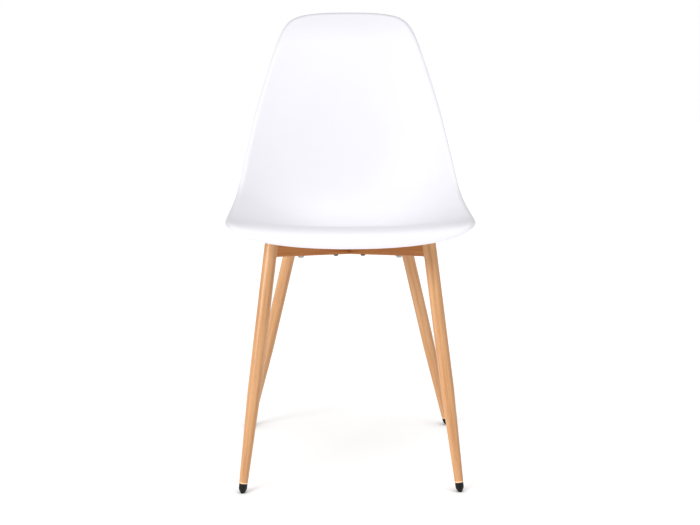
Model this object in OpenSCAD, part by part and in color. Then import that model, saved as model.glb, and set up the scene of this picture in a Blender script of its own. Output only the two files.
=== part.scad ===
// Dining chair: a one-piece moulded shell on four splayed, tapered legs.
// Millimetres, +Z up. The front faces -Y, left is -X, and the origin is on the floor
// under the middle of the chair.

/* [Shell] */
// Thickness of the moulded wall
wall = 4.5; // [3.5:0.5:5.5]
// Radius of the rolled rim, on its outside
rim_r = 8.5; // [7:0.5:12]
// Angle through which the rim rolls over
rim_turn = 80; // [50:5:90]
// How far the front edge falls back 200 mm to the side of its middle
front_bow = 16; // [0:1:24]
// Exponent of the cross-section: a higher one is flatter in the middle
bowl_power = 2.3; // [2:0.1:3]
// Diameter of the round bosses under the shell
boss_d = 18; // [15:1:20]

/* [Legs] */
// Height of the top of the tubes
leg_top_z = 442; // [438:1:446]
// Diameter of the tubes above the taper
leg_d = 24; // [22:1:26]
// Diameter of the tubes at the foot
leg_end_d = 15.6; // [14:0.2:18]
// Height along the tube at which the taper begins
taper_at = 186; // [120:1:260]
// Wall of the tubes
tube_wall = 1.2; // [0.8:0.1:2]
// Front tubes: sideways distance of the top from the middle
front_top_x = 141; // [130:1:150]
// Front tubes: forward distance of the top from the middle
front_top_y = 150; // [140:1:160]
// Front tubes: sideways distance of the foot from the middle
front_foot_x = 195; // [180:1:205]
// Front tubes: forward distance of the foot from the middle
front_foot_y = 221; // [200:1:235]
// Rear tubes: sideways distance of the top from the middle
rear_top_x = 104; // [95:1:115]
// Rear tubes: backward distance of the top from the middle
rear_top_y = 142; // [135:1:150]
// Rear tubes: sideways distance of the foot from the middle
rear_foot_x = 209; // [190:1:215]
// Rear tubes: backward distance of the foot from the middle
rear_foot_y = 225; // [200:1:235]

/* [Rails] */
// Height of a rail
rail_h = 24; // [20:1:26]
// Width of a rail
rail_w = 16; // [14:1:18]
// Wall of a rail
rail_wall = 1.5; // [1:0.1:2]
// Slope of the rails up to the legs, in degrees
rail_slope = 5; // [4:0.5:6]
// Height of the lower edge where the rails meet
rail_z = 397; // [392:1:400]
// How far behind the origin the rails meet
cross_y = 16; // [10:1:22]
// Thickness of the plate over the crossing
plate_t = 3; // [2:0.5:4]
// Length of each wing of that plate
plate_reach = 56; // [50:1:62]

/* [Fastenings] */
// Distance of the front shell bolts from the crossing
front_bolt_at = 140; // [134:1:150]
// Distance of the rear shell bolts from the crossing
rear_bolt_at = 98; // [92:1:104]
// Distance of the plate screws from the crossing
screw_at = 40; // [36:1:44]
// Thread diameter of the shell bolts
bolt_d = 6; // [5:1:6]
// Thread diameter of the plate screws
screw_d = 5; // [4:1:5]
// Thickness of the rubber pads between rails and bosses
pad_t = 4; // [3:0.5:5]
// Length of the threaded inserts
insert_len = 9; // [8:0.5:9]

/* [Feet] */
// Length of the part of a foot cap that shows below the tube
foot_h = 17; // [14:1:22]
// Diameter of a foot cap
foot_d = 15; // [13:0.5:15.5]

/* [Hidden] */

left = -1;
right = 1;
corners = [[left, true], [right, true], [left, false], [right, false]];
white = "whitesmoke";
beech = "burlywood";
steel = "silver";
black = [0.1, 0.1, 0.1];

// Middle line of the shell seen from the side, as (y, z) control points from the lower
// edge of the front lip, over the seat, to the top of the back. A station is a place on
// this line: 0 is its first point and 15 its last.
profile = [
    [-266, 453], [-266, 465], [-256, 477], [-226, 481], [-162, 471], [-82, 455], [-2, 443],
    [68, 439], [126, 449], [162, 490], [184, 560], [200, 640], [218, 720], [236, 786],
    [250, 830], [257, 854]
];
// How far the surface stands off that line 200 mm to the side of it, station by station
rise = [4, 4, 6, 6, 12, 26, 42, 57, 67, 63, 53, 42, 33, 28, 22, 18];
// Direction of that rise, from straight up towards straight forward, in degrees
lean = [0, 0, 0, 0, 0, 0, 3, 12, 28, 46, 60, 68, 73, 75, 76, 76];
// Right half of the rim, as (station, x) control points from the front middle to the top
half_rim = [
    [0, 0], [0.05, 47], [0.25, 106], [0.9, 162], [2.2, 204], [4, 216], [5.6, 214],
    [7.2, 208], [8.6, 205], [9.9, 195], [11.2, 175], [12.4, 149], [13.4, 132],
    [14.2, 118], [14.75, 98], [15, 49], [15, 0]
];
half_last = len(half_rim) - 1;
rim_loop = concat(half_rim, [for (i = [half_last - 1:-1:1]) [half_rim[i][0], -half_rim[i][1]]]);
rise_x = 200;
bow_end = 7;
hub_station = 7;
rim_points = 96;
pan_rings = 10;
rim_steps = 3;
ring_count = 2 * (pan_rings + rim_steps) + 1;
tiny = 0.01;

clearance = 0.3;
boss_root_d = boss_d + 6;
insert_d = 9;
insert_gap = 0.05;
washer_d = 13;
washer_t = 1.2;
head_d = 10.5;
head_h = 3.2;
socket_d = 4.6;
screw_head_d = 9.4;
screw_head_h = 3;
screw_past_nut = 1;
// Shares of a head's height and radius at which its side turns in and its face begins
head_side = 0.3;
head_turn_r = 0.86;
head_turn = 0.75;
head_face_r = 0.6;
socket_depth = 0.6;
nut_d = 9.2;
nut_t = 4;
corner_r = 2.5;
plug_t = 2;
plug_depth = 12;
stem_len = 22;
tip_r = 3.2;
cone_h = 6.3;
shoulder_h = 7.8;
shoulder_w = 0.6;
below = 1.5;
far = 400;
round_fn = 64;
small_fn = 32;

// ---- Smooth curves through control points (uniform cubic B-splines) ----

function weights(t) =
    [(1 - t)^3, 3 * t^3 - 6 * t^2 + 4, -3 * t^3 + 3 * t^2 + 3 * t + 1, t^3] / 6;

function control(list, k) =
    let (n = len(list) - 1)
    k < 0 ? 2 * list[0] - list[1] : k > n ? 2 * list[n] - list[n - 1] : list[k];

function along(list, station) =
    let (s = min(max(station, 0), len(list) - 1))
    let (i = min(floor(s), len(list) - 2))
    let (w = weights(s - i))
    w[0] * control(list, i - 1) + w[1] * list[i] + w[2] * list[i + 1]
        + w[3] * control(list, i + 2);

function rim_at(j) =
    let (n = len(rim_loop))
    let (u = j / rim_points * n)
    let (i = floor(u))
    let (w = weights(u - i))
    w[0] * rim_loop[(i - 1 + n) % n] + w[1] * rim_loop[i % n]
        + w[2] * rim_loop[(i + 1) % n] + w[3] * rim_loop[(i + 2) % n];

function unit(v) = v / norm(v);

// ---- The shell's upper surface, as a function of station and x ----

function bow_weight(s) = s < bow_end ? (1 - (s / bow_end)^2)^2 : 0;

function shell_point(s, x) =
    let (c = along(profile, s))
    let (h = along(rise, s) * (abs(x) / rise_x)^bowl_power)
    let (a = along(lean, s))
    let (back = front_bow * bow_weight(s) * (x / rise_x)^2)
    [x, c[0] - h * sin(a) + back, c[1] + h * cos(a)];

function shell_normal(s, x) =
    unit(cross(
        shell_point(s, x + 1) - shell_point(s, x - 1),
        shell_point(s + tiny, x) - shell_point(s - tiny, x)
    ));

// Station at which the seat passes over a given (x, y), by halving the interval
function station_over(x, y, low = 2, high = 9, steps = 20) =
    let (middle = (low + high) / 2)
    steps == 0 ? middle
    : shell_point(middle, x)[1] < y ? station_over(x, y, middle, high, steps - 1)
    : station_over(x, y, low, middle, steps - 1);

function seat_z(x, y) = shell_point(station_over(x, y), x)[2];

// ---- The shell as one closed skin: rings from the middle of the pan to the rim, ----
// ---- around the rolled rim, and back along the underside                        ----

rim_st = [for (j = [0:rim_points - 1]) rim_at(j)];
rim_pt = [for (o = rim_st) shell_point(o[0], o[1])];
rim_up = [for (o = rim_st) shell_normal(o[0], o[1])];
rim_out = [
    for (j = [0:rim_points - 1])
    let (ahead = rim_pt[(j + 1) % rim_points])
    let (behind = rim_pt[(j + rim_points - 1) % rim_points])
    unit(cross(unit(ahead - behind), rim_up[j]))
];

function pan_ring(i, depth) = [
    for (o = rim_st)
    let (f = i / pan_rings)
    let (s = hub_station + f * (o[0] - hub_station))
    let (x = f * o[1])
    shell_point(s, x) - depth * shell_normal(s, x)
];

// A ring of the rolled rim, at a radius about the roll's axis and an angle round it
function roll_ring(radius, angle, beyond = 0) = [
    for (j = [0:rim_points - 1])
    rim_pt[j]
        + rim_out[j] * (radius * sin(angle) + beyond * cos(angle))
        - rim_up[j] * (rim_r - radius * cos(angle) + beyond * sin(angle))
];

skin_rings = concat(
    [for (i = [1:pan_rings]) pan_ring(i, 0)],
    [for (k = [1:rim_steps]) roll_ring(rim_r, rim_turn * k / rim_steps)],
    [roll_ring(rim_r - wall / 2, rim_turn, wall / 2)],
    [for (k = [rim_steps:-1:1]) roll_ring(rim_r - wall, rim_turn * k / rim_steps)],
    [for (i = [pan_rings:-1:1]) pan_ring(i, wall)]
);
pan_middle = shell_point(hub_station, 0);
skin_points = concat(
    [pan_middle],
    [for (ring = skin_rings) for (p = ring) p],
    [pan_middle - wall * shell_normal(hub_station, 0)]
);
last_point = len(skin_points) - 1;

function skin_index(ring, j) = 1 + ring * rim_points + j % rim_points;

skin_faces = concat(
    [for (j = [0:rim_points - 1]) [0, skin_index(0, j + 1), skin_index(0, j)]],
    [
        for (ring = [0:ring_count - 2])
        for (j = [0:rim_points - 1])
        let (a = skin_index(ring, j))
        let (b = skin_index(ring, j + 1))
        let (c = skin_index(ring + 1, j + 1))
        let (d = skin_index(ring + 1, j))
        each [[a, b, c], [a, c, d]]
    ],
    [
        for (j = [0:rim_points - 1])
        [last_point, skin_index(ring_count - 1, j), skin_index(ring_count - 1, j + 1)]
    ]
);

// ---- Places of the legs and rails ----

function leg_top(side, front) =
    front ? [side * front_top_x, -front_top_y, leg_top_z]
    : [side * rear_top_x, rear_top_y, leg_top_z];

function leg_foot(side, front) =
    front ? [side * front_foot_x, -front_foot_y, 0] : [side * rear_foot_x, rear_foot_y, 0];

function leg_length(side, front) = norm(leg_top(side, front) - leg_foot(side, front));

// The point on a leg's axis at the height of the middle of its rail's end
function rail_end(side, front) =
    let (top = leg_top(side, front))
    let (foot = leg_foot(side, front))
    let (run = norm([top[0], top[1] - cross_y]))
    let (z = rail_z + run * tan(rail_slope) + rail_h / 2)
    foot + (top - foot) * z / top[2];

function rail_heading(side, front) =
    let (end = rail_end(side, front))
    atan2(end[1] - cross_y, end[0]);

function rail_length(side, front) =
    let (end = rail_end(side, front))
    norm([end[0], end[1] - cross_y]) / cos(rail_slope);

function bolt_at(front) = front ? front_bolt_at : rear_bolt_at;

// Direction of a bolt's axis, square to its rail, and where it leaves the rail's top
function bolt_axis(side, front) =
    let (a = rail_heading(side, front))
    [-sin(rail_slope) * cos(a), -sin(rail_slope) * sin(a), cos(rail_slope)];

function bolt_base(side, front) =
    let (a = rail_heading(side, front))
    let (d = bolt_at(front) * cos(rail_slope))
    [d * cos(a), cross_y + d * sin(a), rail_z + bolt_at(front) * sin(rail_slope)]
        + rail_h * bolt_axis(side, front);

// Length of a boss, from the top of its pad to the middle of the shell's wall
function boss_length(side, front, guess = 20, steps = 4) =
    let (axis = bolt_axis(side, front))
    let (p = bolt_base(side, front) + (pad_t + guess) * axis)
    steps == 0 ? guess
    : boss_length(side, front, guess + (seat_z(p[0], p[1]) - wall / 2 - p[2]) / axis[2], steps - 1);

// ---- Frames that children are drawn in ----

// Along a leg: origin at its foot on the floor, Z up the leg's axis
module along_leg(side, front) {
    foot = leg_foot(side, front);
    run = leg_top(side, front) - foot;
    translate(foot)
        rotate([0, acos(run[2] / norm(run)), atan2(run[1], run[0])])
            children();
}

// On a rail: origin on its lower face at a distance from the crossing, X outwards along it
module on_rail(side, front, distance = 0) {
    translate([0, cross_y, rail_z])
        rotate([0, 0, rail_heading(side, front)])
            rotate([0, -rail_slope, 0])
                translate([distance, 0, 0])
                    children();
}

// The quarter of space that holds one rail, bounded by the mitre planes
module quarter(side, front) {
    translate([side < 0 ? -far : 0, front ? cross_y - far : cross_y, 0])
        cube([far, far, 2 * far]);
}

// ---- Parts ----

module shell() {
    color(white)
        difference() {
            union() {
                polyhedron(skin_points, skin_faces);
                for (c = corners)
                    on_rail(c[0], c[1], bolt_at(c[1]))
                        translate([0, 0, rail_h + pad_t])
                            boss(boss_length(c[0], c[1]));
            }
            for (c = corners)
                on_rail(c[0], c[1], bolt_at(c[1]))
                    translate([0, 0, rail_h + pad_t - tiny])
                        cylinder(h = insert_len + tiny, d = insert_d + 2 * insert_gap, $fn = small_fn);
        }
}

// A round boss with a root that widens into the shell
module boss(length) {
    root_h = (boss_root_d - boss_d) / 2;
    cylinder(h = length, d = boss_d, $fn = small_fn);
    translate([0, 0, length - root_h])
        cylinder(h = root_h, d1 = boss_d, d2 = boss_root_d, $fn = small_fn);
}

module boss_inserts() {
    color("goldenrod")
        for (c = corners)
            on_rail(c[0], c[1], bolt_at(c[1]))
                translate([0, 0, rail_h + pad_t])
                    ring(insert_d, bolt_d + clearance, insert_len);
}

// A flat ring or a sleeve
module ring(outer_d, inner_d, height) {
    difference() {
        cylinder(h = height, d = outer_d, $fn = small_fn);
        translate([0, 0, -1])
            cylinder(h = height + 2, d = inner_d, $fn = small_fn);
    }
}

module pad(side, front) {
    color(black)
        on_rail(side, front, bolt_at(front))
            translate([0, 0, rail_h])
                ring(boss_d, bolt_d + 2 * clearance, pad_t);
}

// Rectangle with round corners, width along X and height from zero upwards
module rail_section(width, height, radius) {
    translate([0, height / 2]) {
        square([width - 2 * radius, height], center = true);
        square([width, height - 2 * radius], center = true);
        for (x = [-1, 1])
            for (y = [-1, 1])
                translate([x * (width / 2 - radius), y * (height / 2 - radius)])
                    circle(r = radius, $fn = small_fn);
    }
}

// A rectangular tube, mitred at the crossing and coped to the leg at its outer end
module rail(side, front) {
    length = rail_length(side, front);
    color(beech)
        difference() {
            intersection() {
                on_rail(side, front, -rail_w)
                    rotate([90, 0, 90])
                        linear_extrude(length + rail_w)
                            difference() {
                                rail_section(rail_w, rail_h, corner_r);
                                translate([0, rail_wall])
                                    rail_section(
                                        rail_w - 2 * rail_wall,
                                        rail_h - 2 * rail_wall,
                                        corner_r - rail_wall
                                    );
                            }
                quarter(side, front);
            }
            along_leg(side, front)
                cylinder(h = leg_length(side, front), d = leg_d, $fn = round_fn);
            on_rail(side, front, bolt_at(front))
                translate([0, 0, -1])
                    cylinder(h = rail_h + 2, d = bolt_d + 2 * clearance, $fn = small_fn);
            on_rail(side, front, screw_at)
                translate([0, 0, -1])
                    cylinder(h = rail_h + 2, d = screw_d + 2 * clearance, $fn = small_fn);
        }
}

// Four wings, each lying on top of one rail
module crossing_plate() {
    color(beech)
        difference() {
            union()
                for (c = corners)
                    intersection() {
                        on_rail(c[0], c[1], -rail_w)
                            translate([0, -rail_w / 2, rail_h])
                                cube([plate_reach + rail_w, rail_w, plate_t]);
                        quarter(c[0], c[1]);
                    }
            for (c = corners)
                on_rail(c[0], c[1], screw_at)
                    translate([0, 0, rail_h - 1])
                        cylinder(h = plate_t + 2, d = screw_d + 2 * clearance, $fn = small_fn);
        }
}

module plate_screws() {
    length = rail_h + plate_t + nut_t + screw_past_nut;
    color(black)
        for (c = corners)
            on_rail(c[0], c[1], screw_at) {
                cylinder(h = length, d = screw_d, $fn = small_fn);
                head(screw_head_d, screw_head_h, screw_d / 2);
            }
}

module plate_nuts() {
    color(steel)
        for (c = corners)
            on_rail(c[0], c[1], screw_at)
                translate([0, 0, rail_h + plate_t])
                    difference() {
                        cylinder(h = nut_t, d = nut_d, $fn = 6);
                        translate([0, 0, -1])
                            cylinder(h = nut_t + 2, d = screw_d + clearance, $fn = small_fn);
                    }
}

module shell_bolts() {
    length = washer_t + rail_h + pad_t + insert_len;
    color(steel)
        for (c = corners)
            on_rail(c[0], c[1], bolt_at(c[1]))
                translate([0, 0, -washer_t]) {
                    cylinder(h = length, d = bolt_d, $fn = small_fn);
                    head(head_d, head_h, socket_d / 2);
                }
}

// A low domed head hanging below its bearing face, with a hexagonal socket
module head(diameter, height, socket_r) {
    r = diameter / 2;
    difference() {
        rotate_extrude($fn = small_fn)
            polygon([
                [0, 0], [r, 0], [r, -head_side * height],
                [head_turn_r * r, -head_turn * height], [head_face_r * r, -height],
                [0, -height]
            ]);
        translate([0, 0, -height - 1])
            cylinder(h = socket_depth * height + 1, r = socket_r, $fn = 6);
    }
}

module bolt_washers() {
    color(steel)
        for (c = corners)
            on_rail(c[0], c[1], bolt_at(c[1]))
                translate([0, 0, -washer_t])
                    ring(washer_d, bolt_d + 2 * clearance, washer_t);
}

// A tube, straight above and tapering down to the foot cap
module leg(side, front) {
    r = leg_d / 2;
    end_r = leg_end_d / 2;
    top = leg_length(side, front);
    color(beech)
        along_leg(side, front)
            rotate_extrude($fn = round_fn)
                polygon([
                    [end_r - tube_wall, foot_h], [end_r, foot_h], [r, taper_at], [r, top],
                    [r - tube_wall, top], [r - tube_wall, taper_at]
                ]);
}

// A disc with a stem that closes the open top of a tube
module plug(side, front) {
    color(black)
        along_leg(side, front)
            translate([0, 0, leg_length(side, front)]) {
                cylinder(h = plug_t, d = leg_d, $fn = round_fn);
                translate([0, 0, -plug_depth])
                    cylinder(h = plug_depth, d = leg_d - 2 * tube_wall - clearance, $fn = round_fn);
            }
}

// A pointed cap with a stem inside the tube, its tip cut level with the floor. The quarter
// turn keeps the seam of the round shape away from the ends of the level cut.
module foot(side, front) {
    r = foot_d / 2;
    stem_r = leg_end_d / 2 - tube_wall - clearance;
    cone_r = r - shoulder_w;
    point_r = tip_r - below * (cone_r - tip_r) / cone_h;
    color(black)
        difference() {
            along_leg(side, front)
                rotate([0, 0, 90])
                    rotate_extrude($fn = round_fn)
                        polygon([
                            [0, -below], [point_r, -below], [cone_r, cone_h], [r, shoulder_h],
                            [r, foot_h], [stem_r, foot_h], [stem_r, foot_h + stem_len],
                            [0, foot_h + stem_len]
                        ]);
            translate([-far, -far, -far])
                cube([2 * far, 2 * far, far]);
        }
}

shell();
boss_inserts();
pad(left, true);  // pad_front_left
pad(right, true);  // pad_front_right
pad(left, false);  // pad_rear_left
pad(right, false);  // pad_rear_right
rail(left, true);  // rail_front_left
rail(right, true);  // rail_front_right
rail(left, false);  // rail_rear_left
rail(right, false);  // rail_rear_right
crossing_plate();
plate_screws();
plate_nuts();
shell_bolts();
bolt_washers();
leg(left, true);  // leg_front_left
leg(right, true);  // leg_front_right
leg(left, false);  // leg_rear_left
leg(right, false);  // leg_rear_right
plug(left, true);  // plug_front_left
plug(right, true);  // plug_front_right
plug(left, false);  // plug_rear_left
plug(right, false);  // plug_rear_right
foot(left, true);  // foot_front_left
foot(right, true);  // foot_front_right
foot(left, false);  // foot_rear_left
foot(right, false);  // foot_rear_right
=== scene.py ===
"""Dining chair: the visible model, its materials and a plain white studio.

Geometry is worked out in millimetres, in the frame of the CAD model (+Z up, the front
towards -Y, the origin on the floor under the middle), and scaled to metres when a mesh is
made. The driving dimensions below are those of the CAD source. The sizes of welds, threads,
sockets and softened edges, and the fineness of the meshes, are this script's own.
"""

import math

import bmesh
import bpy
import numpy as np
from mathutils import Matrix, Vector


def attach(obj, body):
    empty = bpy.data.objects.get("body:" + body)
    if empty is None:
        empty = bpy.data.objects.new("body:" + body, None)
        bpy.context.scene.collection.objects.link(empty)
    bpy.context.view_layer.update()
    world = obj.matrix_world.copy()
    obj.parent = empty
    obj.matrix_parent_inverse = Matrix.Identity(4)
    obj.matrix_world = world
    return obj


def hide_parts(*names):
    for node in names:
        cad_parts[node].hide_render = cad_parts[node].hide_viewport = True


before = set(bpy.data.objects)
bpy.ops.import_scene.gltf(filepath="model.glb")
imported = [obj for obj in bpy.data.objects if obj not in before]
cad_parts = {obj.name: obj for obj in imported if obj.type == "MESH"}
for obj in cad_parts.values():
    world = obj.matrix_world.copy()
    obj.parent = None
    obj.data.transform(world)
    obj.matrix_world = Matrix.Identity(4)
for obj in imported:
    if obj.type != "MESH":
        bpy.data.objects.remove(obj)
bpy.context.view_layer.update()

MM = 0.001
LEFT, RIGHT = -1, 1
CORNERS = [(LEFT, True), (RIGHT, True), (LEFT, False), (RIGHT, False)]

# ---- Driving dimensions, in millimetres and degrees ----

# Shell
WALL = 4.5
RIM_R = 8.5
RIM_TURN = 80
FRONT_BOW = 16
BOWL_POWER = 2.3
RISE_X = 200
BOW_END = 7
HUB_STATION = 7
BOSS_D = 18
BOSS_FLARE = 4
FLARE_TURN = 60
BOSS_EDGE = 0.6
BOSS_SKIRT = 3
BOSS_SHORT = 0.5
INSERT_D = 9
INSERT_LEN = 9
INSERT_GAP = 0.05
BORE_BEVEL = 0.5

# Middle line of the shell from the front lip to the top, as (y, z); a station is a place on it
PROFILE = [
    (-266, 453), (-266, 465), (-256, 477), (-226, 481), (-162, 471), (-82, 455), (-2, 443),
    (68, 439), (126, 449), (162, 490), (184, 560), (200, 640), (218, 720), (236, 786),
    (250, 830), (257, 854),
]
# How far the surface stands off that line 200 mm to the side of it, and in which direction,
# from straight up (0) towards straight forward (90), station by station
RISE = [4, 4, 6, 6, 12, 26, 42, 57, 67, 63, 53, 42, 33, 28, 22, 18]
LEAN = [0, 0, 0, 0, 0, 0, 3, 12, 28, 46, 60, 68, 73, 75, 76, 76]
# Right half of the rim, as (station, x), from the front middle to the top
HALF_RIM = [
    (0, 0), (0.05, 47), (0.25, 106), (0.9, 162), (2.2, 204), (4, 216), (5.6, 214),
    (7.2, 208), (8.6, 205), (9.9, 195), (11.2, 175), (12.4, 149), (13.4, 132),
    (14.2, 118), (14.75, 98), (15, 49), (15, 0),
]

# Legs. Their ends are (sideways, y), for a front leg (True) and a rear one (False).
LEG_TOP_Z = 442
LEG_D = 24
LEG_END_D = 15.6
TAPER_AT = 186
TAPER_BLEND = 900
TUBE_WALL = 1.2
LEG_TOP = {True: (141, -150), False: (104, 142)}
LEG_FOOT = {True: (195, -221), False: (209, 225)}

# Rails, their welds to the legs, and the plate over their crossing
RAIL_H = 24
RAIL_W = 16
RAIL_WALL = 1.5
RAIL_CORNER = 2.5
RAIL_SLOPE = 5
RAIL_Z = 397
CROSS_Y = 16
PLATE_T = 3
PLATE_REACH = 56
PLATE_EDGE = 0.6
PLATE_CORNER = 3
WELD_ABOVE = 1.4
WELD_BELOW = 4.2
WELD_IN_RAIL = 0.8
WELD_IN_LEG = 0.5

# Fastenings. Their distances from the crossing are for a front rail and a rear one.
BOLT_AT = {True: 140, False: 98}
SCREW_AT = {True: 40, False: 40}
BOLT_D = 6
SCREW_D = 5
SCREW_PAST_NUT = 1
PAD_T = 4
WASHER_D = 13
WASHER_T = 1.2
HEAD_D = 10.5
HEAD_H = 3.2
SCREW_HEAD_D = 9.4
SCREW_HEAD_H = 3
NUT_D = 9.2
NUT_T = 4
NUT_BEVEL = 0.3
THREAD_PITCH = 0.8
THREAD_DEPTH = 0.35
BOLT_THREAD = 12
SCREW_THREAD = 7
SHANK_BEVEL = 0.5
HEAD_EDGE = 0.2
BOLT_SOCKET_D = 4.6
SCREW_SOCKET_D = 5
SOCKET_BEVEL_W = 0.35
SOCKET_BEVEL_H = 0.25

# Plugs and foot caps
PLUG_T = 2
PLUG_DEPTH = 12
PLUG_DOME = 0.5
FOOT_H = 17
FOOT_D = 15
STEM_LEN = 22
TIP_R = 3.2
CONE_H = 6.3
SHOULDER_H = 7.8
SHOULDER_W = 0.6
SHOULDER_SOFT = 1
BELOW_FLOOR = 1.5
CLEARANCE = 0.3

# Fineness of the meshes, and the angles from which an edge is sharp
RIM_POINTS = 320
PAN_RINGS = 40
ROLL_STEPS = 10
LIP_STEPS = 6
FLARE_STEPS = 5
BAR_STEPS = 12
WELD_STEPS = 6
LEG_SEGMENTS = 96
SMALL_SEGMENTS = 48
TINY = 1e-6
SHARP = 35
SHELL_SHARP = 32
WELD_SHARP = 60
FASTENING_SHARP = 30


# ---- Curves and the shell's upper surface ----


def spline_weights(t):
    """Shares of the four controls round a place on a uniform cubic B-spline."""
    return (
        (1 - t) ** 3 / 6,
        (3 * t**3 - 6 * t**2 + 4) / 6,
        (-3 * t**3 + 3 * t**2 + 3 * t + 1) / 6,
        t**3 / 6,
    )


def spline(control, station):
    """Places on an open uniform cubic B-spline whose ends run straight on."""
    control = np.asarray(control, float)
    before, after = 2 * control[0] - control[1], 2 * control[-1] - control[-2]
    padded = np.concatenate([[before], control, [after]])
    station = np.clip(station, 0, len(control) - 1)
    first = np.minimum(np.floor(station).astype(int), len(control) - 2)
    weights = spline_weights(station - first)
    if control.ndim == 2:
        weights = [w[..., None] for w in weights]
    return sum(w * padded[first + k] for k, w in enumerate(weights))


def closed_spline(control, count):
    """Evenly spread places round a closed uniform cubic B-spline."""
    control = np.asarray(control, float)
    place = np.arange(count) / count * len(control)
    first = np.floor(place).astype(int)
    weights = spline_weights(place - first)
    return sum(
        w[:, None] * control[(first + k - 1) % len(control)] for k, w in enumerate(weights)
    )


def shell_point(station, x):
    """Points of the upper surface, from a station and a sideways distance."""
    middle = spline(PROFILE, station)
    height = spline(RISE, station) * (np.abs(x) / RISE_X) ** BOWL_POWER
    angle = np.radians(spline(LEAN, station))
    bow = np.where(station < BOW_END, (1 - (station / BOW_END) ** 2) ** 2, 0)
    back = FRONT_BOW * bow * (x / RISE_X) ** 2
    return np.stack(
        [x, middle[..., 0] - height * np.sin(angle) + back, middle[..., 1] + height * np.cos(angle)],
        axis=-1,
    )


def unit(v):
    return v / np.linalg.norm(v, axis=-1, keepdims=True)


def shell_normal(station, x):
    """Unit normals of the upper surface, towards the sitter."""
    step_x, step_s = 0.5, 0.005
    across = shell_point(station, x + step_x) - shell_point(station, x - step_x)
    inside = np.clip(station, step_s, len(PROFILE) - 1 - step_s)
    along = shell_point(inside + step_s, x) - shell_point(inside - step_s, x)
    return unit(np.cross(across, along))


def seat_z(x, y):
    """Height of the seat over a place, by halving the stretch of stations from behind the lip
    to the foot of the back."""
    low, high = 2.0, 9.0
    for _ in range(30):
        middle = (low + high) / 2
        if shell_point(np.float64(middle), np.float64(x))[1] < y:
            low = middle
        else:
            high = middle
    return shell_point(np.float64(low), np.float64(x))[2]


# ---- Frames along the legs and rails, as matrices in millimetres ----


def corner_name(side, front):
    return f"{'front' if front else 'rear'}_{'left' if side == LEFT else 'right'}"


def leg_ends(side, front):
    """The ends of a leg's axis, on the floor and at its top."""
    foot = Vector((side * LEG_FOOT[front][0], LEG_FOOT[front][1], 0))
    top = Vector((side * LEG_TOP[front][0], LEG_TOP[front][1], LEG_TOP_Z))
    return foot, top


def leg_length(side, front):
    foot, top = leg_ends(side, front)
    return (top - foot).length


def along_leg(side, front, height=0):
    """Origin on a leg's axis, Z up the axis."""
    foot, top = leg_ends(side, front)
    run = top - foot
    tilt = math.acos(run.z / run.length)
    heading = math.atan2(run.y, run.x)
    turn = Matrix.Rotation(heading, 4, "Z") @ Matrix.Rotation(tilt, 4, "Y")
    return Matrix.Translation(foot) @ turn @ Matrix.Translation((0, 0, height))


def rail_heading(side, front):
    """Direction of a rail in plan, towards its leg's axis at the rail's own height."""
    foot, top = leg_ends(side, front)
    run = math.hypot(top.x, top.y - CROSS_Y)
    z = RAIL_Z + run * math.tan(math.radians(RAIL_SLOPE)) + RAIL_H / 2
    end = foot + (top - foot) * (z / top.z)
    return math.atan2(end.y - CROSS_Y, end.x)


def on_rail(side, front, distance=0, height=0):
    """Origin on a rail's lower face or above it, X along the rail and Z square to it."""
    start = Matrix.Translation((0, CROSS_Y, RAIL_Z))
    turn = Matrix.Rotation(rail_heading(side, front), 4, "Z")
    slope = Matrix.Rotation(-math.radians(RAIL_SLOPE), 4, "Y")
    return start @ turn @ slope @ Matrix.Translation((distance, 0, height))


def boss_length(side, front):
    """From the top of the pad to the middle of the shell's wall, by repeated correction."""
    place = np.array(on_rail(side, front, BOLT_AT[front], RAIL_H + PAD_T))
    base, axis = place[:3, 3], place[:3, 2]
    length = 20.0
    for _ in range(6):
        tip = base + length * axis
        length += (seat_z(tip[0], tip[1]) - WALL / 2 - tip[2]) / axis[2]
    return length


# ---- Meshes ----


def moved(points, matrix):
    """Points carried by a 4x4 matrix."""
    m = np.array(matrix)
    return np.asarray(points, float) @ m[:3, :3].T + m[:3, 3]


def loft(rings):
    """Skin over rings of equally many points. A ring of one point is a pole, and the last
    ring joins the first unless both are poles."""
    size = max(len(ring) for ring in rings)
    rows, points = [], []
    for ring in rings:
        start = len(points)
        points += [tuple(p) for p in ring]
        rows.append([start + (k if len(ring) > 1 else 0) for k in range(size)])
    faces = []
    for low, high in zip(rows, rows[1:] + rows[:1]):
        for k in range(size):
            n = (k + 1) % size
            face = list(dict.fromkeys([low[k], low[n], high[n], high[k]]))
            if len(face) > 2:
                faces.append(face)
    return np.array(points, float), faces


def circle(radius, height, segments):
    """Points on a level circle about Z, or its one point if it has no size."""
    if radius < TINY:
        return [(0, 0, height)]
    turns = np.arange(segments) / segments * 2 * math.pi
    return [(radius * math.cos(a), radius * math.sin(a), height) for a in turns]


def hexagon(corner_r, height, segments):
    """Points on a level hexagon about Z, its corners a distance corner_r from the middle."""
    sixth = math.pi / 3
    ring = []
    for a in np.arange(segments) / segments * 2 * math.pi:
        radius = corner_r * math.cos(sixth / 2) / math.cos(a % sixth - sixth / 2)
        ring.append((radius * math.cos(a), radius * math.sin(a), height))
    return ring


def lathe(outline, segments=SMALL_SEGMENTS):
    """A closed outline of (radius, height) turned about Z."""
    return loft([circle(radius, height, segments) for radius, height in outline])


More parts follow.
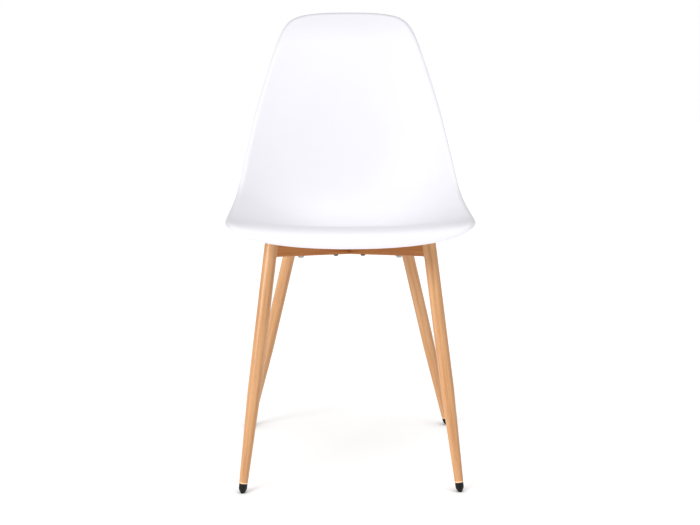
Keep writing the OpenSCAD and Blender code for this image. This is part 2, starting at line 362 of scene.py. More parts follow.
def softened(corners, steps=4):
    """A closed outline from corners (radius, height, rounding), rounded off by arcs."""
    outline = []
    for k, (r, z, rounding) in enumerate(corners):
        here = np.array((r, z), float)
        if rounding <= 0:
            outline.append(tuple(here))
            continue
        before = unit(np.array(corners[k - 1][:2]) - here)
        after = unit(np.array(corners[(k + 1) % len(corners)][:2]) - here)
        half = math.acos(np.clip(before @ after, -1, 1)) / 2
        centre = here + unit(before + after) * rounding / math.sin(half)
        reach = rounding / math.tan(half)
        first, last = here + before * reach - centre, here + after * reach - centre
        turn = math.pi - 2 * half
        for t in np.linspace(0, 1, steps + 1):
            spoke = first * math.sin((1 - t) * turn) + last * math.sin(t * turn)
            outline.append(tuple(centre + spoke / math.sin(turn)))
    return outline


def add_piece(name, points, faces, slot, stands_for=(), grain=None, sharp=SHARP, look=None):
    """One visible piece: a closed mesh from points in millimetres, riding on the chair. Its
    look is its slot's material, unless another is named."""
    mesh = bpy.data.meshes.new(name)
    mesh.from_pydata((np.asarray(points) * MM).tolist(), [], faces)
    tidy = bmesh.new()
    tidy.from_mesh(mesh)
    bmesh.ops.recalc_face_normals(tidy, faces=tidy.faces)
    tidy.to_mesh(mesh)
    tidy.free()
    if grain is not None:
        values = mesh.attributes.new(GRAIN, "FLOAT_VECTOR", "POINT").data
        values.foreach_set("vector", np.asarray(grain, np.float32).ravel())
    mesh.shade_smooth()
    mesh.set_sharp_from_angle(angle=math.radians(sharp))
    mesh.materials.append(MATERIALS[look or slot])
    piece = bpy.data.objects.new(name, mesh)
    bpy.context.scene.collection.objects.link(piece)
    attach(piece, "root")
    if stands_for:
        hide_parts(*stands_for)
    return piece


def merged(parts):
    """Several (points, faces) as one."""
    points, faces, start = [], [], 0
    for part_points, part_faces in parts:
        points.append(part_points)
        faces += [[start + i for i in face] for face in part_faces]
        start += len(part_points)
    return np.concatenate(points), faces


# ---- Materials ----

# Places across and along the film's grain, in mm. The rails' lie past the longest leg's, the
# plate's beside the rails', and pieces of one kind are apart by a step.
GRAIN = "grain_at"
RAIL_GRAIN = 500
PLATE_GRAIN = 200
GRAIN_STEP = 37.0
# How much the streaks count in the film's figure, beside its broad bands
STREAK_SHARE = 0.55
# Where the painted highlight at a leg's lower end, a pale band for the light the rounded end
# catches, fades out, in mm above a leg's lower end
END_HIGHLIGHT = (2.0, 3.2)

# Painted shade on the top of the back, for the light that misses the rolled rim: heights between
# which the back turns a little greyer, and its darker crest starts, in metres, and how far a face
# looks up (1 is straight up) where the crest is painted darker
TOP_SHADE_Z = (0.800, 0.845)
CREST_Z = (0.76, 0.80)
CREST_UP = (0.35, 0.85)


class Nodes:
    """A material's nodes, added and joined by short calls."""

    def __init__(self, name):
        self.material = bpy.data.materials.new(name)
        self.material.use_nodes = True
        self.tree = self.material.node_tree
        self.shader = self.tree.nodes["Principled BSDF"]

    def feed(self, socket, value):
        """Joins another node's output to an input, or sets the input to a number or colour."""
        if isinstance(value, bpy.types.NodeSocket):
            self.tree.links.new(value, socket)
        else:
            socket.default_value = value

    def add(self, kind, **values):
        """A node; values set its properties, or its inputs by name with _ for a space."""
        node = self.tree.nodes.new("ShaderNode" + kind)
        for key, value in values.items():
            if hasattr(node, key):
                setattr(node, key, value)
            else:
                self.feed(node.inputs[key.replace("_", " ")], value)
        return node

    def calculate(self, operation, *values):
        """A Math node's result, from numbers or other nodes' outputs."""
        node = self.add("Math", operation=operation)
        for socket, value in zip(node.inputs, values):
            self.feed(socket, value)
        return node.outputs[0]

    def noise(self, where, scale, detail=3.0, roughness=0.5):
        """Noise over a vector, stretched by a scale along each axis."""
        stretched = self.add("Mapping", Vector=where, Scale=scale).outputs["Vector"]
        return self.add(
            "TexNoise", Vector=stretched, Scale=1.0, Detail=detail, Roughness=roughness
        ).outputs["Fac"]

    def range(self, value, low, high, to_low, to_high):
        """A value carried from one range to another, and held to it."""
        return self.add(
            "MapRange", Value=value, From_Min=low, From_Max=high, To_Min=to_low, To_Max=to_high
        ).outputs["Result"]

    def ramp(self, value, stops):
        """Colours along a value, from (place, colour) stops."""
        node = self.add("ValToRGB", Fac=value)
        elements = node.color_ramp.elements
        while len(elements) < len(stops):
            elements.new(0.5)
        for element, (place, colour) in zip(elements, stops):
            element.position = place
            element.color = (*colour, 1)
        return node.outputs["Color"]

    def mix(self, amount, first, second, how="MIX"):
        """Two colours mixed. The node's colour inputs are its 7th and 8th."""
        node = self.add("Mix", data_type="RGBA", blend_type=how)
        self.feed(node.inputs[0], amount)
        self.feed(node.inputs[6], first)
        self.feed(node.inputs[7], second)
        return node.outputs[2]

    def bump(self, height, distance, strength, below=None):
        """A normal for a height, on top of another bump's if one is below it."""
        node = self.add("Bump", Height=height, Distance=distance, Strength=strength)
        if below is not None:
            self.feed(node.inputs["Normal"], below)
        return node.outputs["Normal"]

    def surface(self, **values):
        """Sets the shader's own sockets, by name with _ for a space."""
        for key, value in values.items():
            self.feed(self.shader.inputs[key.replace("_", " ")], value)
        return self.material


def object_place(nodes):
    return nodes.add("TexCoord").outputs["Object"]


def shell_plastic():
    """White polypropylene: a fine spark-eroded texture over a barely uneven wall, and painted shade
    on the top of the back, a little greyer near the top and darker on the crest where it faces up."""
    nodes = Nodes("white_polypropylene")
    place = object_place(nodes)
    texture = nodes.noise(place, (1400, 1400, 1400), detail=2)
    grit = nodes.noise(place, (520, 520, 520), detail=1)
    wave = nodes.noise(place, (14, 14, 14), detail=1)
    tone = nodes.noise(place, (9, 9, 9), detail=2)
    colour = nodes.ramp(
        nodes.range(tone, 0.35, 0.65, 0, 1),
        [(0.0, (0.862, 0.853, 0.897)), (1.0, (0.870, 0.861, 0.905))],
    )
    height = nodes.add("SeparateXYZ", Vector=place).outputs["Z"]
    normal = nodes.add("NewGeometry").outputs["Normal"]
    facing_up = nodes.add("SeparateXYZ", Vector=normal).outputs["Z"]
    # painted shade: the top of the back a little greyer, and the rim's crest darker where it faces
    # up, for the light that misses them
    near_top = nodes.range(height, *TOP_SHADE_Z, 0, 1)
    painted_top_shade = nodes.mix(near_top, colour, (0.93, 0.93, 0.935, 1), "MULTIPLY")
    crest = nodes.calculate(
        "MULTIPLY", nodes.range(height, *CREST_Z, 0, 1), nodes.range(facing_up, *CREST_UP, 0, 1)
    )
    painted_crest_shade = nodes.mix(crest, painted_top_shade, (0.80, 0.80, 0.815, 1), "MULTIPLY")
    slow = nodes.bump(wave, 0.0006, 0.12)
    coarse = nodes.bump(grit, 0.0001, 0.10, below=slow)
    fine = nodes.bump(texture, 0.00006, 0.14, below=coarse)
    return nodes.surface(
        Base_Color=painted_crest_shade,
        Roughness=nodes.range(grit, 0.3, 0.7, 0.40, 0.52),
        IOR=1.49,
        Normal=fine,
    )


def beech_finish(name, shade, coat):
    """Beech-effect film on steel tube: long streaks, short dark ray flecks, a satin lacquer.
    The shade multiplies its colour: on the legs a tint, on the rails painted shade, deeper and
    redder for the shade under the seat. The coat is the lacquer's weight."""
    nodes = Nodes(name)
    place = nodes.add("Attribute", attribute_name=GRAIN).outputs["Vector"]
    bands = nodes.noise(place, (0.16, 0.16, 0.006), detail=2)
    streaks = nodes.noise(place, (0.85, 0.85, 0.018), detail=4, roughness=0.6)
    hairs = nodes.noise(place, (2.6, 2.6, 0.05), detail=2)
    flecks = nodes.noise(place, (1.7, 1.7, 0.22), detail=1)
    from_bands = nodes.range(bands, 0.3, 0.7, 0.05, 0.40)
    body = nodes.ramp(
        nodes.calculate("MULTIPLY_ADD", streaks, STREAK_SHARE, from_bands),
        [
            (0.28, (0.54, 0.255, 0.098)),
            (0.47, (0.66, 0.335, 0.138)),
            (0.62, (0.73, 0.390, 0.170)),
            (0.80, (0.80, 0.460, 0.220)),
        ],
    )
    lined = nodes.mix(nodes.range(hairs, 0.56, 0.72, 0, 0.35), body, (0.50, 0.235, 0.09, 1))
    flecked = nodes.mix(nodes.range(flecks, 0.64, 0.72, 0, 0.45), lined, (0.40, 0.18, 0.07, 1))
    # on the rails this multiply is painted shade: a deeper, redder copy of the film for the shade
    # under the seat
    shaded = nodes.mix(1.0, flecked, (*shade, 1), "MULTIPLY")
    run = nodes.add("SeparateXYZ", Vector=place).outputs["Z"]
    # painted highlight: a pale band just above the foot cap, for the light that the rounded end of
    # the tube catches
    end = nodes.range(run, FOOT_H + END_HIGHLIGHT[0], FOOT_H + END_HIGHLIGHT[1], 0.75, 0)
    colour = nodes.mix(end, shaded, (0.88, 0.60, 0.36, 1))
    return nodes.surface(
        Base_Color=colour,
        Roughness=nodes.range(streaks, 0.3, 0.7, 0.58, 0.46),
        IOR=1.46,
        Specular_IOR_Level=0.15,
        Coat_Weight=coat,
        Coat_Roughness=0.24,
        Normal=nodes.bump(streaks, 0.0002, 0.10, below=nodes.bump(flecks, 0.0001, 0.10)),
    )


def cap_plastic():
    """Black polyamide, finely eroded."""
    nodes = Nodes("black_polyamide")
    place = object_place(nodes)
    texture = nodes.noise(place, (1800, 1800, 1800), detail=2)
    tone = nodes.noise(place, (240, 240, 240), detail=2)
    colour = nodes.ramp(tone, [(0.3, (0.006, 0.006, 0.007)), (0.7, (0.012, 0.012, 0.013))])
    return nodes.surface(
        Base_Color=colour,
        Roughness=nodes.range(tone, 0.3, 0.7, 0.36, 0.50),
        Specular_IOR_Level=0.2,
        Normal=nodes.bump(texture, 0.00008, 0.25),
    )


def pad_rubber():
    """Dull black rubber with a trace of bloom."""
    nodes = Nodes("black_rubber")
    place = object_place(nodes)
    bloom = nodes.noise(place, (160, 160, 160), detail=4, roughness=0.6)
    pores = nodes.noise(place, (2400, 2400, 2400), detail=1)
    colour = nodes.ramp(bloom, [(0.35, (0.014, 0.014, 0.014)), (0.8, (0.045, 0.044, 0.042))])
    return nodes.surface(
        Base_Color=colour,
        Roughness=nodes.range(bloom, 0.3, 0.7, 0.68, 0.85),
        Normal=nodes.bump(pores, 0.0001, 0.3),
    )


def metal(name, dark, light, rough, brushed):
    """Plated or raw metal: patchy tone, and fine marks stretched along one axis."""
    nodes = Nodes(name)
    place = object_place(nodes)
    patches = nodes.noise(place, (260, 260, 260), detail=3)
    marks = nodes.noise(place, (3200, 3200, 400), detail=2)
    return nodes.surface(
        Base_Color=nodes.ramp(patches, [(0.3, dark), (0.7, light)]),
        Metallic=1.0,
        Roughness=nodes.range(patches, 0.3, 0.7, rough, rough + 0.14),
        Normal=nodes.bump(marks, 0.00005, brushed),
    )


MATERIALS = {
    "shell_plastic": shell_plastic(),
    "beech_finish": beech_finish("beech_effect_film", (0.82, 0.83, 0.89), 0.5),
    # the same film with painted shade, deeper and redder, for the rails, welds and plate under the
    # seat, and a thinner lacquer
    "beech_rails_painted_shade": beech_finish("beech_effect_film_painted_shade", (0.62, 0.44, 0.25), 0.3),
    "cap_plastic": cap_plastic(),
    "pad_rubber": pad_rubber(),
    "bright_steel": metal("zinc_plate", (0.36, 0.37, 0.38), (0.52, 0.52, 0.50), 0.24, 0.2),
    "dark_steel": metal("black_oxide", (0.018, 0.015, 0.013), (0.050, 0.041, 0.034), 0.34, 0.3),
    "insert_brass": metal("brass", (0.62, 0.42, 0.16), (0.76, 0.55, 0.24), 0.26, 0.2),
}


# ---- The shell ----


def shell_skin():
    """Rings from the hub to the rim, over the rolled edge, and back along the underside."""
    rim = closed_spline(HALF_RIM + [(s, -x) for s, x in HALF_RIM[-2:0:-1]], RIM_POINTS)
    edge = shell_point(rim[:, 0], rim[:, 1])
    up = shell_normal(rim[:, 0], rim[:, 1])
    tangent = unit(np.roll(edge, -1, axis=0) - np.roll(edge, 1, axis=0))
    out = unit(np.cross(tangent, up))

    def pan(k, depth):
        share = k / PAN_RINGS
        station = HUB_STATION + share * (rim[:, 0] - HUB_STATION)
        x = share * rim[:, 1]
        return shell_point(station, x) - depth * shell_normal(station, x)

    def roll(radius, angle, beyond=0.0):
        sine, cosine = math.sin(angle), math.cos(angle)
        sideways = radius * sine + beyond * cosine
        downwards = RIM_R - radius * cosine + beyond * sine
        return edge + sideways * out - downwards * up

    turns = [math.radians(RIM_TURN) * k / ROLL_STEPS for k in range(1, ROLL_STEPS + 1)]
    lip = [math.pi * k / LIP_STEPS for k in range(1, LIP_STEPS)]
    middle = np.float64(HUB_STATION), np.float64(0)
    hub, hub_normal = shell_point(*middle), shell_normal(*middle)
    return loft(
        [[hub]]
        + [pan(k, 0) for k in range(1, PAN_RINGS + 1)]
        + [roll(RIM_R, turn) for turn in turns]
        + [
            roll(RIM_R - WALL / 2 * (1 - math.cos(a)), turns[-1], WALL / 2 * math.sin(a))
            for a in lip
        ]
        + [roll(RIM_R - WALL, turn) for turn in reversed(turns)]
        + [pan(k, WALL) for k in range(PAN_RINGS, 0, -1)]
        + [[hub - WALL * hub_normal]]
    )


def boss(side, front):
    """A round boss with its bore, flaring out into the underside of the shell."""
    length = boss_length(side, front)
    top = length - BOSS_SHORT
    radius, bore = BOSS_D / 2, INSERT_D / 2 + INSERT_GAP
    flare = [
        (radius + BOSS_FLARE * (1 - math.cos(a)), length - WALL - BOSS_FLARE * (1 - math.sin(a)))
        for a in np.radians(np.linspace(0, FLARE_TURN, FLARE_STEPS + 1))
    ]
    outline = (
        [
            (bore, BORE_BEVEL), (bore + BORE_BEVEL, 0), (radius - BOSS_EDGE, 0),
            (radius - 0.3 * BOSS_EDGE, 0.3 * BOSS_EDGE), (radius, BOSS_EDGE),
        ]
        + flare
        + [(flare[-1][0] + BOSS_SKIRT, top), (0, top), (0, INSERT_LEN), (bore, INSERT_LEN)]
    )
    points, faces = lathe(outline)
    return moved(points, on_rail(side, front, BOLT_AT[front], RAIL_H + PAD_T)), faces


def make_shell():
    """The seat and back in one, with the bosses joined to it."""
    shell = add_piece("seat_shell", *shell_skin(), "shell_plastic", ["shell"])
    bosses = add_piece(
        "seat_bosses", *merged([boss(*corner) for corner in CORNERS]), "shell_plastic"
    )
    join = shell.modifiers.new("bosses", "BOOLEAN")
    join.operation = "UNION"
    join.solver = "EXACT"
    join.object = bosses
    graph = bpy.context.evaluated_depsgraph_get()
    whole = bpy.data.meshes.new_from_object(shell.evaluated_get(graph))
    shell.modifiers.remove(join)
    shell.data = whole
    bpy.data.objects.remove(bosses)
    whole.shade_smooth()
    whole.set_sharp_from_angle(angle=math.radians(SHELL_SHARP))


# ---- Rails, their welds, and the plate over the crossing ----


def rounded_rectangle(width, height, radius, arc_steps=5, side_steps=8):
    """Points (across, up) round a rectangle that stands on zero."""
    ring = []
    for quarter in range(4):
        a = quarter * math.pi / 2
        turn = np.array([(math.cos(a), -math.sin(a)), (math.sin(a), math.cos(a))])
        reach = (width, height) if quarter % 2 == 0 else (height, width)
        corner = np.array(reach) / 2 - radius
        for t in np.linspace(0, math.pi / 2, arc_steps + 1):
            ring.append(turn @ (corner + radius * np.array((math.cos(t), math.sin(t)))))
        for t in np.linspace(0, 1, side_steps + 1)[1:-1]:
            flat = np.array((corner[0] * (1 - 2 * t), reach[1] / 2))
            ring.append(turn @ flat)
    return np.array(ring) + (0, height / 2)


def rail_to_leg(side, front):
    """A leg's axis in its rail's frame: a point on it and its direction."""
    to_rail = on_rail(side, front).inverted()
    foot, top = leg_ends(side, front)
    point = np.array(to_rail @ foot)
    return point, unit(np.array(to_rail @ top) - point)


def where_leg_starts(side, front, across, up):
    """How far along the rail a line at (across, up) first meets the leg's surface."""
    point, axis = rail_to_leg(side, front)
    start = np.array((0.0, across, up)) - point
    ray = np.array((1.0, 0.0, 0.0))
    ray_flat, start_flat = ray - (ray @ axis) * axis, start - (start @ axis) * axis
    a, b = ray_flat @ ray_flat, ray_flat @ start_flat
    c = start_flat @ start_flat - (LEG_D / 2) ** 2
    return (-b - math.sqrt(max(b * b - a * c, 0))) / a


def where_mitre_ends(side, front, across, up):
    """How far along the rail a line at (across, up) leaves the mitre planes."""
    place = on_rail(side, front)
    start, run = place @ Vector((0, across, up)), place.col[0].xyz
    return max(-start.x / run.x, (CROSS_Y - start.y) / run.y)


def bar(side, front, section, inner_section, outer_end):
    """A tube between the mitre at the crossing and a given outer end, or a solid bar if it has
    no inner section."""

    def ring(outline, share):
        points = []
        for across, up in outline:
            near = where_mitre_ends(side, front, across, up)
            points.append((near + share * (outer_end(across, up) - near), across, up))
        return points

    shares = np.linspace(0, 1, BAR_STEPS + 1)
    rings = [ring(section, share) for share in shares]
    if inner_section is None:
        rings = [[np.mean(rings[0], axis=0)]] + rings + [[np.mean(rings[-1], axis=0)]]
    else:
        rings += [ring(inner_section, share) for share in shares[::-1]]
    return loft(rings)


def along_grain(points, order, seed):
    """Points as grain coordinates: the long axis last, and apart from other pieces."""
    return np.asarray(points)[:, order] + (GRAIN_STEP * seed, 0, 0)


def rail_grain(points, seed, beside=0):
    """Grain coordinates of points in a rail's own frame."""
    return along_grain(points, [1, 2, 0], seed) + (beside, 0, RAIL_GRAIN)


def make_rail(side, front, seed):
    """A rectangular tube, mitred at the crossing and cut to fit round its leg."""
    section = rounded_rectangle(RAIL_W, RAIL_H, RAIL_CORNER)
    hollow = rounded_rectangle(
        RAIL_W - 2 * RAIL_WALL, RAIL_H - 2 * RAIL_WALL, RAIL_CORNER - RAIL_WALL
    ) + (0, RAIL_WALL)
    points, faces = bar(
        side, front, section, hollow, lambda across, up: where_leg_starts(side, front, across, up)
    )
    name = "rail_" + corner_name(side, front)
    add_piece(
        name + "_tube", moved(points, on_rail(side, front)), faces, "beech_finish", [name],
        rail_grain(points, seed), look="beech_rails_painted_shade",
    )


def make_leg_weld(side, front, seed):
    """The filled corner between a rail's end and its leg."""
    point, axis = rail_to_leg(side, front)
    section = rounded_rectangle(RAIL_W, RAIL_H, RAIL_CORNER)
    middle = np.array((0, RAIL_H / 2))
    ahead, behind = np.roll(section, -1, axis=0), np.roll(section, 1, axis=0)
    rings = []
    for here, tangent in zip(section, unit(ahead - behind)):
        outward = np.array((0, tangent[1], -tangent[0]))
        if (here - middle) @ outward[1:] < 0:
            outward = -outward
        size = WELD_BELOW + (WELD_ABOVE - WELD_BELOW) * (1 + outward[2]) / 2
        joint = np.array((where_leg_starts(side, front, *here), *here))
        height = (joint - point) @ axis
        spoke = joint - point - height * axis
        away = unit(outward - (outward @ unit(spoke)) * unit(spoke))
        turn = size * (away @ np.cross(axis, unit(spoke))) / (LEG_D / 2)
        climb = size * (away @ axis)
        on_leg = (
            point
            + (height + climb) * axis
            + spoke * math.cos(turn)
            + np.cross(axis, spoke) * math.sin(turn)
        )
        on_bar = joint - (size, 0, 0)
        blend = [
            (1 - t) ** 2 * on_bar + 2 * t * (1 - t) * joint + t**2 * on_leg
            for t in np.linspace(0, 1, WELD_STEPS + 1)
        ]
        sunk = joint - WELD_IN_RAIL * outward + (WELD_IN_LEG, 0, 0)
        rings.append(blend + [sunk])
    # each ring is the weld's section at one place round the rail, so they close into a loop
    points, faces = loft(rings)
    name = "weld_" + corner_name(side, front)
    add_piece(
        name, moved(points, on_rail(side, front)), faces, "beech_finish",
        grain=rail_grain(points, seed), sharp=WELD_SHARP, look="beech_rails_painted_shade",
    )


def make_crossing_plate():
    """Four wings, each lying on one rail, with softened edges."""
    parts, grains = [], []
    section = rounded_rectangle(RAIL_W, PLATE_T, PLATE_EDGE, arc_steps=3) + (0, RAIL_H)

    def end(across, up):
        inset = max(abs(across) - (RAIL_W / 2 - PLATE_CORNER), 0)
        return PLATE_REACH - (PLATE_CORNER - math.sqrt(max(PLATE_CORNER**2 - inset**2, 0)))

    for seed, (side, front) in enumerate(CORNERS):
        points, faces = bar(side, front, section, None, end)
        parts.append((moved(points, on_rail(side, front)), faces))
        grains.append(rail_grain(points, seed, PLATE_GRAIN))
    points, faces = merged(parts)
    add_piece(
        "crossing_plate_wings", points, faces, "beech_finish", ["crossing_plate"],
        np.concatenate(grains), look="beech_rails_painted_shade",
    )


# ---- Legs, plugs and foot caps ----


def make_leg(side, front, seed):
    """A tube with a turned-in lower end, tapering from below the middle."""
    r, end_r, top = LEG_D / 2, LEG_END_D / 2, leg_length(side, front)
    outline = softened([
        (end_r - TUBE_WALL, FOOT_H, 0.2),
        (end_r, FOOT_H, 0.9),
        (r, TAPER_AT, TAPER_BLEND),
        (r, top, 0.4),
        (r - TUBE_WALL, top, 0.3),
        (r - TUBE_WALL, TAPER_AT, 0),
    ], steps=6)
    points, faces = lathe(outline, LEG_SEGMENTS)
    name = "leg_" + corner_name(side, front)
    return add_piece(
        name + "_tube", moved(points, along_leg(side, front)), faces, "beech_finish", [name],
        along_grain(points, [0, 1, 2], seed),
    )


def make_plug(side, front):
    """A slightly domed disc on a stem in the top of a tube."""
    r = LEG_D / 2
    stem = r - TUBE_WALL - CLEARANCE / 2
    outline = softened([
        (0, -PLUG_DEPTH, 0), (stem, -PLUG_DEPTH, 0.8), (stem, 0, 0), (r, 0, 0.3),
        (r, PLUG_T - PLUG_DOME, 0.8), (0, PLUG_T, 0),
    ])
    points, faces = lathe(outline, LEG_SEGMENTS)
    name = "plug_" + corner_name(side, front)
    place = along_leg(side, front, leg_length(side, front))
    add_piece(name + "_disc", moved(points, place), faces, "cap_plastic", [name])


def make_foot(side, front):
    """A pointed cap, cut level where it stands on the floor."""
    r = FOOT_D / 2
    stem = LEG_END_D / 2 - TUBE_WALL - CLEARANCE
    cone_r = r - SHOULDER_W
    point_r = TIP_R - BELOW_FLOOR * (cone_r - TIP_R) / CONE_H
    outline = softened([
        (0, -BELOW_FLOOR, 0), (point_r, -BELOW_FLOOR, 0), (cone_r, CONE_H, 1.2),
        (r, SHOULDER_H + SHOULDER_SOFT, 2), (r, FOOT_H, 0.25), (stem, FOOT_H, 0),
        (stem, FOOT_H + STEM_LEN, 0.6), (0, FOOT_H + STEM_LEN, 0),
    ])
    points, faces = lathe(outline, LEG_SEGMENTS)
    name = "foot_" + corner_name(side, front)
    foot = add_piece(
        name + "_cap", moved(points, along_leg(side, front)), faces, "cap_plastic", [name]
    )
    cut = bmesh.new()
    cut.from_mesh(foot.data)
    geometry = cut.verts[:] + cut.edges[:] + cut.faces[:]
    sliced = bmesh.ops.bisect_plane(
        cut, geom=geometry, plane_co=(0, 0, 0), plane_no=(0, 0, -1), clear_outer=True
    )
    border = [e for e in sliced["geom_cut"] if isinstance(e, bmesh.types.BMEdge)]
    bmesh.ops.holes_fill(cut, edges=border)
    bmesh.ops.recalc_face_normals(cut, faces=cut.faces)
    cut.to_mesh(foot.data)
    cut.free()
    foot.data.set_sharp_from_angle(angle=math.radians(SHARP))


# ---- Fastenings ----


def screw(length, shank_d, head_d, head_h, socket_d, threaded):
    """A domed socket head below zero, and a shank above it with a thread at its end."""
    shank, head = shank_d / 2, head_d / 2
    n = SMALL_SEGMENTS
    rings = [circle(0, length, n), circle(shank - SHANK_BEVEL, length, n)]
    crest = length - SHANK_BEVEL
    while crest > length - threaded:
        rings += [
            circle(shank, crest, n),
            circle(shank - THREAD_DEPTH, crest - THREAD_PITCH / 2, n),
        ]
        crest -= THREAD_PITCH
    rings += [circle(shank, crest, n), circle(shank, 0, n), circle(head - HEAD_EDGE, 0, n)]
    # the dome, in shares of the head's radius and height
    dome = [(1.0, 0.08), (1.0, 0.3), (0.97, 0.52), (0.9, 0.72), (0.78, 0.88), (0.64, 0.97)]
    rings += [circle(head * wide, -head_h * deep, n) for wide, deep in dome]
    # the socket's bevelled mouth, its foot and the shallow cone under it
    rings += [
        circle(socket_d / 2 + SOCKET_BEVEL_W, -head_h, n),
        hexagon(socket_d / 2, -head_h + SOCKET_BEVEL_H, n),
        hexagon(socket_d / 2, -0.4 * head_h, n),
        circle(0, -0.3 * head_h, n),
    ]
    return loft(rings)


def washer(outer_d, inner_d, thickness, rounding):
    """A flat ring that stands on zero."""
    inner, outer = inner_d / 2, outer_d / 2
    return lathe(softened([
        (inner, 0, rounding), (outer, 0, rounding),
        (outer, thickness, rounding), (inner, thickness, rounding),
    ], steps=3))


def hex_nut():
    """A hexagon nut whose corners are turned down at both ends."""
    n, r, bore = SMALL_SEGMENTS, NUT_D / 2, (SCREW_D + CLEARANCE) / 2
    flat = r * math.cos(math.pi / 6)

    def rim(end, inwards):
        ring = hexagon(r, end, n)
        return [
            (x, y, z + inwards * max(math.hypot(x, y) - flat, 0) * math.tan(math.pi / 6))
            for x, y, z in ring
        ]

    return loft([
        circle(bore + NUT_BEVEL, 0, n), circle(flat, 0, n), rim(0, 1), rim(NUT_T, -1),
        circle(flat, NUT_T, n), circle(bore + NUT_BEVEL, NUT_T, n),
        circle(bore, NUT_T - NUT_BEVEL, n), circle(bore, NUT_BEVEL, n),
    ])


def at_every_rail(shape, distances, height):
    """A shape repeated on the four rails, at a distance for the front and one for the rear."""
    points, faces = shape
    return merged([
        (moved(points, on_rail(side, front, distances[front], height)), faces)
        for side, front in CORNERS
    ])


def make_fastenings():
    """Bolts with washers into the bosses, and screws with nuts through the plate."""
    bolt = screw(
        WASHER_T + RAIL_H + PAD_T + INSERT_LEN, BOLT_D, HEAD_D, HEAD_H, BOLT_SOCKET_D, BOLT_THREAD
    )
    plate_screw = screw(
        RAIL_H + PLATE_T + NUT_T + SCREW_PAST_NUT, SCREW_D, SCREW_HEAD_D, SCREW_HEAD_H,
        SCREW_SOCKET_D, SCREW_THREAD,
    )
    ring = washer(WASHER_D, BOLT_D + 2 * CLEARANCE, WASHER_T, 0.25)
    rows = [
        ("shell_bolts", bolt, BOLT_AT, -WASHER_T, "bright_steel"),
        ("bolt_washers", ring, BOLT_AT, -WASHER_T, "bright_steel"),
        ("plate_screws", plate_screw, SCREW_AT, 0, "dark_steel"),
        ("plate_nuts", hex_nut(), SCREW_AT, RAIL_H + PLATE_T, "bright_steel"),
    ]
    for node, shape, distances, height, slot in rows:
        points, faces = at_every_rail(shape, distances, height)
        add_piece(node + "_set", points, faces, slot, [node], sharp=FASTENING_SHARP)


def make_pad(side, front):
    """A rubber ring between a rail and its boss."""
    points, faces = washer(BOSS_D, BOLT_D + 2 * CLEARANCE, PAD_T, 0.7)
    name = "pad_" + corner_name(side, front)
    place = on_rail(side, front, BOLT_AT[front], RAIL_H)
    add_piece(name + "_ring", moved(points, place), faces, "pad_rubber", [name])


def make_chair():
    """Every piece. Returns the legs."""
    legs = []
    make_shell()
    for seed, corner in enumerate(CORNERS):
        make_rail(*corner, seed)
        make_leg_weld(*corner, seed)
        legs.append(make_leg(*corner, seed))
        make_plug(*corner)
        make_foot(*corner)
        make_pad(*corner)
    make_crossing_plate()
    make_fastenings()
    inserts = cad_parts["boss_inserts"]
    inserts.data.materials.clear()
    inserts.data.materials.append(MATERIALS["insert_brass"])
    return legs


# ---- The studio ----

FLOOR_R = 14.0
FLOOR_GLOW = 0.34
CONTACT_REACH = 0.05
SKY = 0.36

# The soft lights: strength, and softness, azimuth and elevation in degrees
LIGHTS = {
    "key": (1.18, 26, -40, 26),
    "top": (0.92, 60, 0, 70),
    "right": (0.56, 60, 60, 20),
}
# Two more, on the legs only: from the left, so that they look as round as they are, and a
# weaker one from behind
LEGS_LIGHTS = {
    "legs_left": (1.15, 24, -55, 18),
    "legs_behind": (0.6, 40, 172, 20),
}

# The camera, in metres and degrees: in front of the chair, a little lower than the top of its
# back, looking slightly down
CAMERA_AT = (-0.0286, -2.5194, 0.7684)
CAMERA_YAW = 0.676
CAMERA_PITCH = 8.714
CAMERA_ROLL = -0.143
LENS = 68.65
SENSOR = 36.0


def make_floor():
    """A white floor with a painted contact shadow where something stands on it, and clear from
    below.
    """
    mesh = bpy.data.meshes.new("floor")
    disc = bmesh.new()
    bmesh.ops.create_circle(disc, cap_ends=True, radius=FLOOR_R, segments=96)
    disc.to_mesh(mesh)
    disc.free()
    nodes = Nodes("white_floor")
    tone = nodes.noise(object_place(nodes), (2, 2, 2), detail=2)
    # painted contact shadow: the floor's glow fades out where something stands close over it
    painted_contact_shadow = nodes.add("AmbientOcclusion", Distance=CONTACT_REACH).outputs["AO"]
    mesh.materials.append(nodes.surface(
        Base_Color=nodes.ramp(tone, [(0.3, (0.90, 0.90, 0.90)), (0.7, (0.92, 0.92, 0.92))]),
        Roughness=0.9,
        Specular_IOR_Level=0.0,
        Emission_Color=nodes.ramp(painted_contact_shadow, [(0.55, (0, 0, 0)), (0.98, (1, 1, 1))]),
        Emission_Strength=FLOOR_GLOW,
    ))
    clear = nodes.add("MixShader", Fac=nodes.add("NewGeometry").outputs["Backfacing"])
    nodes.feed(clear.inputs[1], nodes.shader.outputs[0])
    nodes.feed(clear.inputs[2], nodes.add("BsdfTransparent").outputs[0])
    nodes.feed(nodes.tree.nodes["Material Output"].inputs["Surface"], clear.outputs[0])
    floor = bpy.data.objects.new("floor", mesh)
    bpy.context.scene.collection.objects.link(floor)


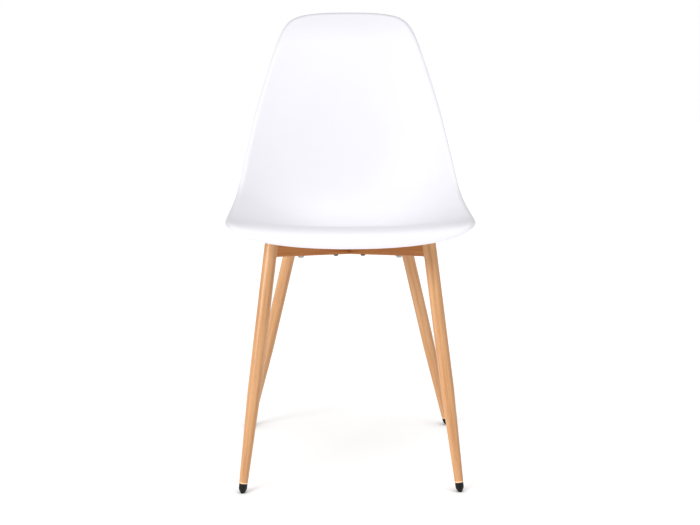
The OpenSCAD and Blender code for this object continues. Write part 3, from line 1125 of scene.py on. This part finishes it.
def make_world():
    """White behind the chair, and a softer white as the light from all round."""
    world = bpy.data.worlds.new("studio")
    world.use_nodes = True
    tree = world.node_tree
    light = tree.nodes["Background"]
    light.inputs["Color"].default_value = (1, 1, 1, 1)
    light.inputs["Strength"].default_value = SKY
    seen = tree.nodes.new("ShaderNodeBackground")
    seen.inputs["Color"].default_value = (1, 1, 1, 1)
    ray = tree.nodes.new("ShaderNodeLightPath")
    choice = tree.nodes.new("ShaderNodeMixShader")
    tree.links.new(ray.outputs["Is Camera Ray"], choice.inputs[0])
    tree.links.new(light.outputs[0], choice.inputs[1])
    tree.links.new(seen.outputs[0], choice.inputs[2])
    tree.links.new(choice.outputs[0], tree.nodes["World Output"].inputs["Surface"])
    bpy.context.scene.world = world


def add_sun(name, strength, softness, azimuth, elevation, only_on=()):
    """A very soft distant light. Azimuth 0 is behind the camera, and -90 is the left. It
    lights everything, unless it is told which pieces to light."""
    light = bpy.data.lights.new(name, "SUN")
    light.energy = strength
    light.angle = math.radians(softness)
    sun = bpy.data.objects.new(name, light)
    a, e = math.radians(azimuth), math.radians(elevation)
    towards = Vector((math.sin(a) * math.cos(e), -math.cos(a) * math.cos(e), math.sin(e)))
    sun.rotation_euler = towards.to_track_quat("Z", "Y").to_euler()
    bpy.context.scene.collection.objects.link(sun)
    if only_on:
        lit = bpy.data.collections.new("lit_by_" + name)
        for piece in only_on:
            lit.objects.link(piece)
        sun.light_linking.receiver_collection = lit


def make_camera():
    """The view from which the chair is seen head on."""
    data = bpy.data.cameras.new("camera")
    data.lens = LENS
    data.sensor_width = SENSOR
    camera = bpy.data.objects.new("camera", data)
    turn = Matrix.Rotation(-math.radians(CAMERA_YAW), 4, "Z")
    tip = Matrix.Rotation(math.radians(90 - CAMERA_PITCH), 4, "X")
    roll = Matrix.Rotation(math.radians(CAMERA_ROLL), 4, "Z")
    camera.matrix_world = Matrix.Translation(CAMERA_AT) @ turn @ tip @ roll
    bpy.context.scene.collection.objects.link(camera)
    bpy.context.scene.camera = camera


def make_studio(legs):
    make_floor()
    make_world()
    for name, light in LIGHTS.items():
        add_sun(name, *light)
    for name, light in LEGS_LIGHTS.items():
        add_sun(name, *light, only_on=legs)
    make_camera()
    bpy.context.scene.view_settings.view_transform = "Standard"


make_studio(make_chair())
